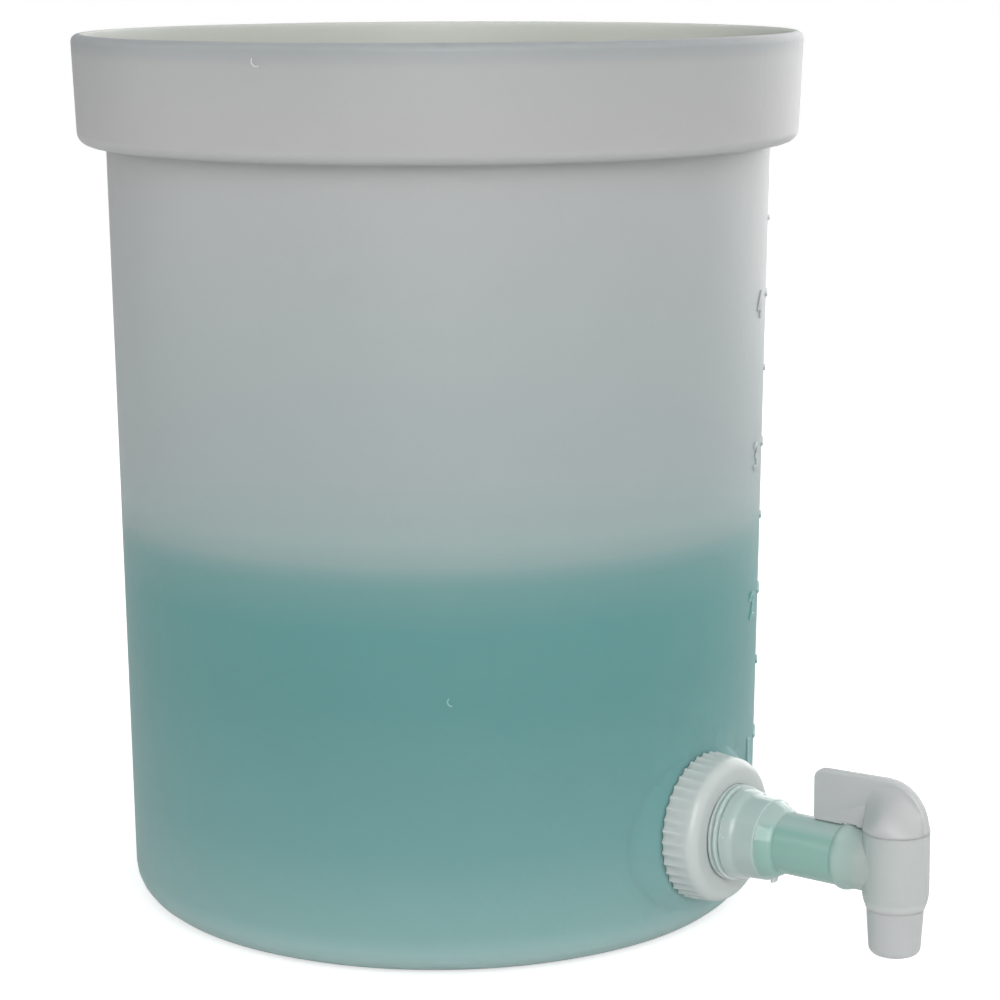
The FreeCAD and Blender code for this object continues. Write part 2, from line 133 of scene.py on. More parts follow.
add_node(tree, "OutputWorld", {"Surface": pick.outputs[0]})
bpy.context.scene.world = surround


def add_softbox(name, place, target, width, height, watts):
    """A rectangular studio lamp that faces its target."""
    light = bpy.data.lights.new(name, "AREA")
    light.shape = "RECTANGLE"
    light.size = width
    light.size_y = height
    light.energy = watts
    lamp = show_object(name, light)
    aim = (Vector(place) - Vector(target)).to_track_quat("Z", "Y").to_matrix().to_4x4()
    lamp.matrix_world = Matrix.Translation(place) @ aim


MIDDLE = (0.03, 0, 0.12)
add_softbox("key_softbox", (1.1, -1.3, 0.85), MIDDLE, width=1.3, height=1.3, watts=19)
add_softbox("left_softbox", (-1.05, -0.95, 0.35), MIDDLE, width=1.0, height=1.2, watts=3.6)
add_softbox("side_softbox", (0.05, 1.15, 0.3), MIDDLE, width=1.2, height=1.2, watts=7.5)


# Camera: a long lens a little above the rim, looking slightly down, on the photograph's side of the tank.
# Its place, turn and lens were fitted to the outline of the tank and the spigot in the photograph.

CAMERA_PLACE = (0.50287, -0.63319, 0.26553)
CAMERA_HEADING = 0.6505
CAMERA_TILT = 1.415
CAMERA_ROLL = -0.0042
FOCAL_PIXELS = 2900.6
FRAME_PIXELS = 1000
FRAME_SHIFT = -0.1
lens = bpy.data.cameras.new("camera")
lens.sensor_width = 36
lens.lens = FOCAL_PIXELS / FRAME_PIXELS * lens.sensor_width
lens.shift_y = FRAME_SHIFT
camera = show_object("camera", lens)
camera.matrix_world = (Matrix.Translation(CAMERA_PLACE) @ Matrix.Rotation(CAMERA_HEADING, 4, "Z")
                       @ Matrix.Rotation(CAMERA_TILT, 4, "X") @ Matrix.Rotation(CAMERA_ROLL, 4, "Z"))
bpy.context.scene.camera = camera
bpy.context.scene.view_settings.view_transform = "Standard"
bpy.context.scene.cycles.max_bounces = 6
bpy.context.scene.cycles.diffuse_bounces = 3
bpy.context.scene.cycles.adaptive_threshold = 0.02


# Tank: one rotation-moulded piece of natural high-density polyethylene, open at the top.
# Its wall flares slightly, steps out into a wide rim band, and has a flat seat and a hole for the spigot.

MM = 0.001
SMOOTH_ANGLE = math.radians(35)
WELD = 0.002 * MM
ON_AXIS = 1e-7


def finish_mesh(name, shape):
    """Closes a shape's seams, turns its faces out and makes it a smooth mesh with its real edges sharp."""
    bmesh.ops.remove_doubles(shape, verts=shape.verts[:], dist=WELD)
    bmesh.ops.recalc_face_normals(shape, faces=shape.faces[:])
    mesh = bpy.data.meshes.new(name)
    shape.to_mesh(mesh)
    shape.free()
    mesh.shade_smooth()
    mesh.set_sharp_from_angle(angle=SMOOTH_ANGLE)
    return mesh


def flat_outline(corners, row):
    """A face in XZ from corners of (across, along, rounding) in millimetres, its long sides cut into rows."""
    shape = bmesh.new()
    points = [shape.verts.new((x * MM, 0, z * MM)) for x, z, _ in corners]
    shape.faces.new(points)
    for point, (_, _, rounding) in zip(points, corners):
        if rounding:
            bmesh.ops.bevel(shape, geom=[point], offset=rounding * MM, offset_type="OFFSET", segments=6,
                            profile=0.5, affect="VERTICES", material=-1)
    for edge in shape.edges[:]:
        cuts = int(edge.calc_length() / (row * MM))
        if cuts and not all(abs(v.co.x) < ON_AXIS for v in edge.verts):
            bmesh.ops.subdivide_edges(shape, edges=[edge], cuts=cuts)
    return shape


def turned(corners, steps, row=10):
    """A solid turned about Z from an outline of (radius, height, rounding) corners."""
    shape = flat_outline(corners, row)
    bmesh.ops.delete(shape, geom=shape.faces[:], context="FACES_ONLY")
    on_axis = [edge for edge in shape.edges if all(abs(v.co.x) < ON_AXIS for v in edge.verts)]
    bmesh.ops.delete(shape, geom=on_axis, context="EDGES")
    bmesh.ops.spin(shape, geom=shape.verts[:] + shape.edges[:], cent=(0, 0, 0), axis=(0, 0, 1),
                   angle=2 * math.pi, steps=steps, use_merge=True)
    bmesh.ops.remove_doubles(shape, verts=shape.verts[:], dist=WELD)
    bmesh.ops.recalc_face_normals(shape, faces=shape.faces[:])
    return shape


def placed(shape, matrix):
    """A shape moved and turned to its place."""
    bmesh.ops.transform(shape, matrix=matrix, verts=shape.verts[:])
    return shape


def combined(name, mesh, other, way):
    """One mesh joined with another (UNION) or cut by it (DIFFERENCE)."""
    first = show_object(name, mesh)
    second = show_object(name + "_tool", other)
    work = first.modifiers.new("combine", "BOOLEAN")
    work.operation = way
    work.solver = "EXACT"
    work.object = second
    result = bpy.data.meshes.new_from_object(first.evaluated_get(bpy.context.evaluated_depsgraph_get()))
    for thing in (first, second):
        bpy.data.objects.remove(thing)
    result.shade_smooth()
    result.set_sharp_from_angle(angle=SMOOTH_ANGLE)
    return result


TANK_HEIGHT = 242
BAND_FOOT = 212
WALL = 2.8
BASE_RADIUS = 88
SHOULDER_RADIUS = 91.8
BAND_FOOT_RADIUS = 99.5
BAND_TOP_RADIUS = 100.8
WALL_SLOPE = (SHOULDER_RADIUS - BASE_RADIUS) / BAND_FOOT
SPIGOT_HEIGHT = 31
TANK_STEPS = 192
SPIGOT_STEPS = 96
ALONG_X = Matrix.Rotation(math.pi / 2, 4, "Y")
SPIGOT_AXIS = Matrix.Translation((0, 0, SPIGOT_HEIGHT * MM)) @ ALONG_X

tank_shape = turned([
    (0, 0, 0),
    (BASE_RADIUS, 0, 9),
    (SHOULDER_RADIUS, BAND_FOOT, 1.6),
    (BAND_FOOT_RADIUS, BAND_FOOT, 3.4),
    (BAND_TOP_RADIUS, TANK_HEIGHT, 2.2),
    (BAND_TOP_RADIUS - WALL, TANK_HEIGHT, 0.5),
    (BAND_FOOT_RADIUS - WALL + 0.1, BAND_FOOT + WALL, 1.2),
    (SHOULDER_RADIUS - WALL, BAND_FOOT + WALL, 1.6),
    (BASE_RADIUS - WALL, WALL, 6.2),
    (0, WALL, 0),
], TANK_STEPS)
tank_mesh = finish_mesh("tank_shell", tank_shape)

# The nut sits on the outer seat and the gasket on the inner one. A skirt blends the outer seat into the wall.
seat_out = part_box("spigot_nut")[0].x / MM
seat_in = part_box("spigot_gasket")[1].x / MM
SEAT_RADIUS = 18.5
SHANK_HOLE = 12.98
HOLE_OVERRUN = 20


def plain_bar(radius, start, end, steps, place, row=90):
    """A bar turned from start to end, in millimetres, and put in its place."""
    corners = [(0, start, 0), (radius, start, 0), (radius, end, 0), (0, end, 0)]
    return placed(turned(corners, steps, row), place)


seat_shape = turned([
    (0, seat_in, 0),
    (SEAT_RADIUS, seat_in, 0.5),
    (SEAT_RADIUS, seat_in + WALL / 2, 0),
    (30.4, 81.0, 0),
    (29, 83.3, 0),
    (27, 84.9, 0),
    (25, 86.6, 0),
    (23, 87.9, 0),
    (21.2, 88.7, 0),
    (19.6, seat_out, 0),
    (0, seat_out, 0),
], SPIGOT_STEPS, row=60)
tank_mesh = combined("tank_shell", tank_mesh, finish_mesh("seat", placed(seat_shape, SPIGOT_AXIS)), "UNION")
hole = plain_bar(SHANK_HOLE, seat_in - HOLE_OVERRUN, seat_out + HOLE_OVERRUN, SPIGOT_STEPS, SPIGOT_AXIS)
tank_mesh = combined("tank_shell", tank_mesh, finish_mesh("hole", hole), "DIFFERENCE")
tank = show_object("tank_shell", tank_mesh)
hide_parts("tank")
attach(tank, "tank_and_spigot")

# Natural high-density polyethylene, rotation moulded: milky and waxy, so its shading is soft, without a hard
# gleam. The teal water shows through as a colour by height, up to a blurred line, and tints the wall over it.
# The top stops are painted shade: they darken the rim's lip, which takes much light from above. Towards the
# foot the colour is paler.
WALL_TINT_AND_LIP_SHADE = [(0, "#B2CAC8"), (11, "#8DB2B0"), (33, "#77A4A3"), (73, "#669A98"), (92, "#669B99"),
                (103.7, "#769F9D"), (107.5, "#85A4A3"), (109.5, "#93AAA9"), (115.5, "#9FB0AF"),
                (131, "#A6B0B0"), (164, "#ABB2B2"), (202, "#B0B3B3"), (216, "#B3B3B3"), (236, "#AFB0B0"),
                (239.5, "#A1A5A6"), (242, "#9A9EA0")]
# Painted light: the inside's paler colour stands for light that comes in through the milky wall.
INSIDE_PAINTED_LIGHT = "#C4C7C1"
WAVE_SPACING = 11.1
WAVE_DEPTH = 0.6


def coloured_by(tree, place, reach, stops):
    """A colour ramp over 0 to reach millimetres of one coordinate, from stops of (millimetres, colour)."""
    part_of = add_node(tree, "MapRange", {"Value": place, "From Min": 0.0, "From Max": reach * MM})
    ramp = add_node(tree, "ValToRGB", {"Fac": part_of.outputs[0]})
    band = ramp.color_ramp
    for number, (height, code) in enumerate(stops):
        stop = band.elements[number] if number < 2 else band.elements.new(height / reach)
        stop.position = height / reach
        stop.color = linear(code)
    return ramp


polyethylene, tree = new_material("natural_moulded_polyethylene")
place = add_node(tree, "TexCoord")
axes = add_node(tree, "SeparateXYZ", {0: place.outputs["Object"]})
colour = coloured_by(tree, axes.outputs["Z"], TANK_HEIGHT, WALL_TINT_AND_LIP_SHADE)
across = add_node(tree, "VectorMath", {0: place.outputs["Object"], 1: (1, 1, 0)}, operation="MULTIPLY")
reach = add_node(tree, "VectorMath", {0: across.outputs[0]}, operation="LENGTH")
# The inside is painted paler, as painted light for light that comes in through the milky wall: in the band by
# its distance from the axis, and in the wall by that less the flare.
# In the wall this starts over the spigot's flat seat, which dips further in than the wall around it.
within = add_node(tree, "MapRange", {"Value": reach.outputs["Value"],
                                     "From Min": (BAND_FOOT_RADIUS - 0.9) * MM,
                                     "From Max": (BAND_FOOT_RADIUS - 1.3) * MM})
over_step = add_node(tree, "MapRange", {"Value": axes.outputs["Z"], "From Min": (BAND_FOOT + 1.5) * MM,
                                        "From Max": (BAND_FOOT + 2.5) * MM})
in_band = add_node(tree, "Math", {0: within.outputs[0], 1: over_step.outputs[0]}, operation="MULTIPLY")
upright = add_node(tree, "Math", {0: axes.outputs["Z"], 1: -WALL_SLOPE, 2: reach.outputs["Value"]},
                   operation="MULTIPLY_ADD")
in_wall = add_node(tree, "MapRange", {"Value": upright.outputs[0], "From Min": (BASE_RADIUS - 1.1) * MM,
                                      "From Max": (BASE_RADIUS - 1.5) * MM})
over_foot = add_node(tree, "MapRange", {"Value": axes.outputs["Z"], "From Min": 60 * MM, "From Max": 62 * MM})
in_wall = add_node(tree, "Math", {0: in_wall.outputs[0], 1: over_foot.outputs[0]}, operation="MULTIPLY")
inside = add_node(tree, "Math", {0: in_band.outputs[0], 1: in_wall.outputs[0]}, operation="MAXIMUM")
colour = add_node(tree, "Mix", {"Factor": inside.outputs[0], 6: colour.outputs[0], 7: linear(INSIDE_PAINTED_LIGHT)},
                  data_type="RGBA")
# Slow waves in the moulded wall, about a finger's width apart, break up its broad sheen.
waves = add_node(tree, "TexNoise", {"Vector": place.outputs["Object"], "Scale": 1 / (WAVE_SPACING * MM),
                                    "Detail": 3.0, "Roughness": 0.6})
ripple = add_node(tree, "Bump", {"Height": waves.outputs["Fac"], "Strength": 0.35,
                                 "Distance": WAVE_DEPTH * MM})
skin = add_node(tree, "BsdfPrincipled", {
    "Base Color": colour.outputs[2], "Roughness": 0.4, "IOR": 1.53, "Specular IOR Level": 0.3,
    "Normal": ripple.outputs[0],
    "Subsurface Weight": 1.0, "Subsurface Scale": 6 * MM, "Subsurface Radius": (1.0, 1.0, 1.0)})
add_node(tree, "OutputMaterial", {"Surface": skin.outputs[0]})
tank.data.materials.clear()
tank.data.materials.append(polyethylene)


# Liquid: a pale teal water solution that stands a little under half way up the tank and in the spigot's bore.
# It only rests there, and climbs the wall in a small meniscus.

LIQUID_LEVEL = 107
LIQUID_GAP = 0.05
GASKET_THICKNESS = 2.5
FLANGE_THICKNESS = 3
FLANGE_RADIUS = 17
FLANGE_FACE = seat_in - GASKET_THICKNESS - seat_out
FLANGE_BACK = FLANGE_FACE - FLANGE_THICKNESS
BORE = 5.8
BORE_STEPS = 64
SOCKET = 7.4
REACH = 59.45
SOCKET_START = REACH - SOCKET
ROD_OVERLAP = 12
ROOM_OVERRUN = 5
liquid_radius = BASE_RADIUS - WALL - LIQUID_GAP
liquid_shape = turned([
    (0, WALL + LIQUID_GAP, 0),
    (liquid_radius, WALL + LIQUID_GAP, 6.2),
    (liquid_radius + WALL_SLOPE * LIQUID_LEVEL, LIQUID_LEVEL, 0),
    (liquid_radius + WALL_SLOPE * LIQUID_LEVEL - 2, LIQUID_LEVEL - 1, 0.9),
    (0, LIQUID_LEVEL - 1, 0),
], TANK_STEPS)
liquid_mesh = finish_mesh("teal_liquid", liquid_shape)
for radius, start in ((FLANGE_RADIUS, seat_out + FLANGE_BACK), (SEAT_RADIUS, seat_in)):
    room = plain_bar(radius + LIQUID_GAP, start - LIQUID_GAP, seat_out + ROOM_OVERRUN, SPIGOT_STEPS,
                     SPIGOT_AXIS)
    liquid_mesh = combined("teal_liquid", liquid_mesh, finish_mesh("room", room), "DIFFERENCE")
rod = plain_bar(BORE - LIQUID_GAP, seat_in - ROD_OVERLAP, seat_out + SOCKET_START - LIQUID_GAP, BORE_STEPS,
                SPIGOT_AXIS, row=60)
liquid_mesh = combined("teal_liquid", liquid_mesh, finish_mesh("bore_rod", rod), "UNION")
liquid = show_object("teal_liquid", liquid_mesh)
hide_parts("liquid")
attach(liquid, "tank_and_spigot")

# Dyed water: an even teal with a smooth bright surface, seen from above over the rim.
solution, tree = new_material("teal_water_solution")
water = add_node(tree, "BsdfPrincipled", {"Base Color": linear("#6FA8A2"), "Roughness": 0.05, "IOR": 1.33})
add_node(tree, "OutputMaterial", {"Surface": water.outputs[0]})
liquid.data.materials.clear()
liquid.data.materials.append(solution)


# Volume scale: raised ticks for each litre and half litre, with the numbers 1 to 4, of the tank's plastic.
# They are moulded on its wall beside the spigot, stand half a millimetre out of it and follow its curve.

SCALE_ZERO = 2.65
LITRE_RISE = 41.8
SCALE_ANGLE = 32
MARK_RISE = 0.5
MARK_HEIGHT = 1.2
LITRE_SPAN = 8
HALF_SPAN = 4.5
DIGIT_ANGLE = 20.8
DIGIT_HEIGHT = 7.9
DIGIT_TOP = 2.9
DIGIT_SINK = 0.1
FIGURE_SHARE = 0.73
CORNER_ANGLE = 0.6
SHORTEST_EDGE = 0.3


def wall_radius(height):
    """The wall's outer radius at a height, both in millimetres."""
    return BASE_RADIUS + WALL_SLOPE * height


def tick(height, span):
    """A short raised bar round the wall, its section a bevelled block that dips into the plastic."""
    shape = bmesh.new()
    radius = wall_radius(height)
    corners = [(-0.6, -0.5), (MARK_RISE, -0.36), (MARK_RISE, 0.36), (-0.6, 0.5)]
    shape.faces.new([shape.verts.new(((radius + out) * MM, 0, (height + up * MARK_HEIGHT) * MM))
                     for out, up in corners])
    low = math.radians(SCALE_ANGLE - span / 2)
    bmesh.ops.rotate(shape, verts=shape.verts[:], cent=(0, 0, 0), matrix=Matrix.Rotation(low, 3, "Z"))
    bmesh.ops.spin(shape, geom=shape.faces[:], cent=(0, 0, 0), axis=(0, 0, 1), angle=math.radians(span),
                   steps=max(4, int(span * 1.5)), use_merge=False)
    corner_edges = [edge for edge in shape.edges if edge.is_manifold
                    and edge.calc_face_angle(0) > CORNER_ANGLE and edge.calc_length() > SHORTEST_EDGE * MM]
    bmesh.ops.bevel(shape, geom=corner_edges, offset=0.16 * MM, offset_type="OFFSET", segments=2, profile=0.5,
                    affect="EDGES", material=-1)
    return shape


def digit(number):
    """A raised number, bent round the wall beside its tick, its top a little over the tick."""
    writing = bpy.data.curves.new(f"number_{number}", "FONT")
    writing.body = str(number)
    writing.size = DIGIT_HEIGHT / FIGURE_SHARE * MM
    writing.align_x = "CENTER"
    writing.extrude = 0.5 * MM
    writing.bevel_depth = 0.12 * MM
    writing.bevel_resolution = 1
    sign = show_object(f"number_{number}", writing)
    mesh = bpy.data.meshes.new_from_object(sign)
    bpy.data.objects.remove(sign)
    shape = bmesh.new()
    shape.from_mesh(mesh)
    foot = (SCALE_ZERO + LITRE_RISE * number + DIGIT_TOP - DIGIT_HEIGHT) * MM
    for corner in shape.verts:
        height = foot + corner.co.y
        radius = wall_radius(height / MM) * MM + corner.co.z - DIGIT_SINK * MM
        angle = math.radians(DIGIT_ANGLE) + corner.co.x / radius
        corner.co = (radius * math.cos(angle), radius * math.sin(angle), height)
    return shape


def gathered(name, shapes):
    """Several shapes as one mesh."""
    whole = bmesh.new()
    for shape in shapes:
        piece = bpy.data.meshes.new(name)
        shape.to_mesh(piece)
        shape.free()
        whole.from_mesh(piece)
        bpy.data.meshes.remove(piece)
    return finish_mesh(name, whole)


scale_shapes = []
for half in range(1, 10):
    scale_shapes.append(tick(SCALE_ZERO + LITRE_RISE * half / 2, HALF_SPAN if half % 2 else LITRE_SPAN))
for number in range(1, 5):
    scale_shapes.append(digit(number))
scale = show_object("volume_scale", gathered("volume_scale", scale_shapes))
scale.data.materials.append(polyethylene)
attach(scale, "tank_and_spigot")


# Moulding nibs: two small raised crescents of the tank's own plastic, one on the band and one on the wall.
# They are left from the mould. Each row is its angle round the tank, height, distance out, radius and turn.

NIBS = [(-78.0, 237.4, 100.56, 1.35, 150), (-50.1, 74.6, 89.37, 1.1, 125)]
NIB_THICKNESS = 0.2
NIB_ARC = 150
nib_shapes = []
for azimuth, height, radius, bend, turn in NIBS:
    shape = bmesh.new()
    bent = Matrix.Translation((bend * MM, 0, 0)) @ Matrix.Rotation(math.pi / 2, 4, "X")
    bmesh.ops.create_circle(shape, cap_ends=False, segments=8, radius=NIB_THICKNESS * MM, matrix=bent)
    bmesh.ops.spin(shape, geom=shape.verts[:] + shape.edges[:], cent=(0, 0, 0), axis=(0, 0, 1),
                   angle=math.radians(NIB_ARC), steps=14, use_merge=False)
    bmesh.ops.holes_fill(shape, edges=shape.edges[:], sides=12)
    out = Matrix.Rotation(math.radians(azimuth), 4, "Z") @ Matrix.Translation((radius * MM, 0, height * MM))
    flat = Matrix(((0, 0, 1, 0), (1, 0, 0, 0), (0, 1, 0, 0), (0, 0, 0, 1)))
    nib_shapes.append(placed(shape, out @ flat @ Matrix.Rotation(math.radians(turn), 4, "Z")))
nibs = show_object("moulding_nibs", gathered("moulding_nibs", nib_shapes))

# Natural polyethylene, painted paler than the wall as a highlight on the raised edge, with the liquid's tint
# below its line.
nib_highlight, tree = new_material("nib_painted_highlight")
place = add_node(tree, "TexCoord")
axes = add_node(tree, "SeparateXYZ", {"Vector": place.outputs["Object"]})
over_liquid = add_node(tree, "MapRange", {"Value": axes.outputs["Z"],
                                          "From Min": 100 * MM, "From Max": 120 * MM})
tint = add_node(tree, "Mix", {"Factor": over_liquid.outputs[0], 6: linear("#8FBDBA"), 7: linear("#C8D0CF")},
                data_type="RGBA")
skin = add_node(tree, "BsdfPrincipled", {"Base Color": tint.outputs[2], "Roughness": 0.35, "IOR": 1.53})
add_node(tree, "OutputMaterial", {"Surface": skin.outputs[0]})
nibs.data.materials.append(nib_highlight)
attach(nibs, "tank_and_spigot")


# Spigot body: flange, threaded shank, barrel, outlet tube, bead and upright sleeve, one injection moulding.
# It is natural polyethylene. The flange lies inside the tank and the nut draws it up on the thread.

AT_SPIGOT = Matrix.Translation((seat_out * MM, 0, SPIGOT_HEIGHT * MM)) @ ALONG_X
AT_VALVE = Matrix.Translation(((seat_out + REACH) * MM, 0, SPIGOT_HEIGHT * MM))
THREAD_CREST = 12.68
THREAD_ROOT = 11.6
THREAD_PITCH = 1.5
THREAD_START = 0.85
THREAD_END = 12.6
THREAD_FADE = 0.7
NECK_RADIUS = 12.2
CORE_RADIUS = 11.3
TUBE_RADIUS = 8.1
SLEEVE_RADIUS = 8.65
SLEEVE_TOP = 9.4


def threaded(shape, start, end):
    """Raises a screw thread with flat crests on a fine turned bar, fading out at its end."""
    for corner in shape.verts:
        along = corner.co.z / MM
        radius = corner.co.xy.length / MM
        if radius < THREAD_ROOT - 0.2 or not start < along < end + THREAD_FADE:
            continue
        turn = math.atan2(corner.co.y, corner.co.x) / (2 * math.pi)
        wave = math.cos(2 * math.pi * (along / THREAD_PITCH - turn + THREAD_START))
        crest = THREAD_CREST if along < end else NECK_RADIUS
        scale_to = (THREAD_ROOT + (crest - THREAD_ROOT) * min(1.0, max(0.0, 1.1 + 1.3 * wave))) / radius
        corner.co.x *= scale_to
        corner.co.y *= scale_to
    return shape


body_shape = turned([
    (0, FLANGE_BACK, 0),
    (FLANGE_RADIUS, FLANGE_BACK, 0.8),
    (FLANGE_RADIUS, FLANGE_FACE, 0.3),
    (CORE_RADIUS, FLANGE_FACE, 0),
    (CORE_RADIUS, THREAD_END - 0.4, 0),
    (NECK_RADIUS, THREAD_END + 0.6, 0.1),
    (11.95, 15.6, 0.9),
    (11.15, 16.7, 0.7),
    (10.8, 22.5, 0.12),
    (10.4, 22.75, 0.12),
    (8.75, 26.4, 0.8),
    (8.12, 26.9, 0.25),
    (TUBE_RADIUS, 44.0, 0.3),
    (8.7, 45.0, 0.5),
    (8.87, 46.2, 0.8),
    (TUBE_RADIUS, 48.4, 1.2),
    (TUBE_RADIUS, REACH, 0),
    (0, REACH, 0),
], SPIGOT_STEPS)
body_mesh = finish_mesh("spigot_moulding", placed(body_shape, AT_SPIGOT))
thread_shape = turned([
    (0, FLANGE_FACE - 0.5, 0),
    (THREAD_ROOT, FLANGE_FACE - 0.5, 0),
    (THREAD_ROOT, THREAD_END + THREAD_FADE, 0),
    (THREAD_ROOT - 1, THREAD_END + 1, 0),
    (0, THREAD_END + 1, 0),
], SPIGOT_STEPS, row=0.2)
thread_shape = placed(threaded(thread_shape, FLANGE_FACE - 0.4, THREAD_END), AT_SPIGOT)
body_mesh = combined("spigot_moulding", body_mesh, finish_mesh("thread", thread_shape), "UNION")
sleeve_shape = turned([
    (0, -10.8, 0),
    (7.6, -10.9, 0.1),
    (SLEEVE_RADIUS, -8.0, 1.8),
    (SLEEVE_RADIUS, SLEEVE_TOP, 0.03),
    (0, SLEEVE_TOP, 0),
], SPIGOT_STEPS)
sleeve_shape = placed(sleeve_shape, AT_VALVE)
body_mesh = combined("spigot_moulding", body_mesh, finish_mesh("sleeve", sleeve_shape), "UNION")


def block_at(place, size):
    """The matrix that makes a unit cube a block of a size at a place, both in millimetres."""
    sides = [side * MM for side in size]
    return Matrix.Translation([part * MM for part in place]) @ Matrix.Diagonal((*sides, 1))


# The stub under the cone is left where the plastic was let into the mould, and is narrower at its foot.
GATE_PLACE = (seat_out + 23.0, 0, SPIGOT_HEIGHT - 10.7)
GATE_SIZE = (1.7, 2.2, 1.9)
gate_shape = bmesh.new()
bmesh.ops.create_cube(gate_shape, size=1.0)
for corner in gate_shape.verts:
    if corner.co.z < 0:
        corner.co.x = corner.co.x * 0.5 - 0.1
bmesh.ops.bevel(gate_shape, geom=gate_shape.edges[:], offset=0.12, offset_type="OFFSET", segments=2,
                profile=0.5, affect="EDGES", material=-1)
gate_shape = placed(gate_shape, block_at(GATE_PLACE, GATE_SIZE))
body_mesh = combined("spigot_moulding", body_mesh, finish_mesh("gate", gate_shape), "UNION")
# The bore runs from the flange to the sleeve, whose socket for the plug is cut right through it.
bore = finish_mesh("bore", plain_bar(BORE, FLANGE_BACK - 5, REACH, BORE_STEPS, AT_SPIGOT))
body_mesh = combined("spigot_moulding", body_mesh, bore, "DIFFERENCE")
socket = finish_mesh("socket", plain_bar(SOCKET, -16, 15, SPIGOT_STEPS, AT_VALVE))
body_mesh = combined("spigot_moulding", body_mesh, socket, "DIFFERENCE")
spigot = show_object("spigot_moulding", body_mesh)
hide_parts("spigot_body")
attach(spigot, "tank_and_spigot")


# Natural polyethylene, injection moulded and glossier than the tank, so it takes small bright gleams.
# The teal in its bore tints the thin tube, less along its top, and its underside is painted brighter, as
# painted light from the bench.
# The colours run along X, in millimetres from COLOUR_START inside the seat.
COLOUR_START = 15
COLOUR_REACH = 80
# The stop at 41.2, lighter than those beside it, is a painted highlight near the end of the cone.
TUBE_TINT_AND_CONE_HIGHLIGHT = [(0, "#B8C6C2"), (26, "#BCCAC7"), (37.2, "#B4C4C0"), (38.2, "#97B9B0"), (41.2, "#9EC1B7"),
                (41.8, "#96BCB2"), (59, "#98BDB3"), (60.5, "#A9C1BA"), (65.8, "#AFC0BB"), (68, "#B6C0BD"),
                (74, "#BEC4C2"), (80, "#C2C6C5")]
TUBE_TOP_COLOUR = "#B9CAC6"
# Painted light: the underside's paler colour stands for light from the bench.
UNDERSIDE_PAINTED_LIGHT = "#D9DDDC"
milky, tree = new_material("milky_spigot_polyethylene")
place = add_node(tree, "TexCoord")
spot = add_node(tree, "Mapping", {"Vector": place.outputs["Object"],
                                  "Location": ((COLOUR_START - seat_out) * MM, 0, 0)})
axes = add_node(tree, "SeparateXYZ", {0: spot.outputs["Vector"]})
along = coloured_by(tree, axes.outputs["X"], COLOUR_REACH, TUBE_TINT_AND_CONE_HIGHLIGHT)
above = add_node(tree, "MapRange", {"Value": axes.outputs["Z"], "From Min": (SPIGOT_HEIGHT + 5.2) * MM,
                                    "From Max": (SPIGOT_HEIGHT + 6.6) * MM, "To Max": 0.75})
on_tube = add_node(tree, "MapRange", {"Value": axes.outputs["X"], "From Min": 66 * MM, "From Max": 61 * MM})
above = add_node(tree, "Math", {0: above.outputs[0], 1: on_tube.outputs[0]}, operation="MULTIPLY")
colour = add_node(tree, "Mix", {"Factor": above.outputs[0], 6: along.outputs[0], 7: linear(TUBE_TOP_COLOUR)},
                  data_type="RGBA")
below = add_node(tree, "MapRange", {"Value": axes.outputs["Z"], "From Min": (SPIGOT_HEIGHT - 8.2) * MM,
                                    "From Max": (SPIGOT_HEIGHT - 10.6) * MM, "To Max": 0.85})
colour = add_node(tree, "Mix", {"Factor": below.outputs[0], 6: colour.outputs[2],
                                7: linear(UNDERSIDE_PAINTED_LIGHT)}, data_type="RGBA")
skin = add_node(tree, "BsdfPrincipled", {
    "Base Color": colour.outputs[2], "Roughness": 0.13, "IOR": 1.51,
    "Subsurface Weight": 1.0, "Subsurface Scale": 2 * MM, "Subsurface Radius": (1.0, 1.0, 1.0)})
add_node(tree, "OutputMaterial", {"Surface": skin.outputs[0]})
spigot.data.materials.clear()
spigot.data.materials.append(milky)


# Nut: the ribbed plastic nut that clamps the spigot to the tank's seat. It is injection moulded in the same
# natural polyethylene and screws on the shank. Its soft ribs fade towards its rounded face.

NUT_RADIUS = 20
NUT_DEPTH = 9.85
NUT_BORE = 12.7
NUT_STEPS = 400
RIBS = 40
RIB_DEPTH = 0.75
RIB_LENGTH = 8.4
RIB_FADE = 1.3
RIBBED_FROM = 17.5
nut_shape = turned([
    (NUT_BORE, 0, 0.3),
    (NUT_RADIUS, 0, 0.5),
    (19.1, NUT_DEPTH, 2.6),
    (NUT_BORE, NUT_DEPTH, 0.15),
], NUT_STEPS, row=0.9)
for corner in nut_shape.verts:
    radius = corner.co.xy.length / MM
    along = corner.co.z / MM
    if radius > RIBBED_FROM and along < RIB_LENGTH:
        turn = math.atan2(corner.co.y, corner.co.x)
        groove = abs(math.sin(RIBS / 2 * turn))
        less = 1 - RIB_DEPTH * (1 - along / RIB_LENGTH) ** RIB_FADE * groove / radius
        corner.co.x *= less
        corner.co.y *= less
nut = show_object("ribbed_nut", finish_mesh("ribbed_nut", placed(nut_shape, AT_SPIGOT)))
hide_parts("spigot_nut")
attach(nut, "tank_and_spigot")

# Natural polyethylene in a thick moulding: whiter than the tube, with a dull gleam along each rib.
whiter, tree = new_material("white_nut_polyethylene")
skin = add_node(tree, "BsdfPrincipled", {
    "Base Color": linear("#CAD0CE"), "Roughness": 0.25, "IOR": 1.51,
    "Subsurface Weight": 1.0, "Subsurface Scale": 2 * MM, "Subsurface Radius": (1.0, 1.0, 1.0)})
add_node(tree, "OutputMaterial", {"Surface": skin.outputs[0]})
nut.data.materials.append(whiter)


# Valve plug: blade handle, round head, hollow plug and tapered nozzle in one polyethylene moulding.
# It is pushed into the sleeve and turned by hand. While the blade lies over the tube its side port is shut.

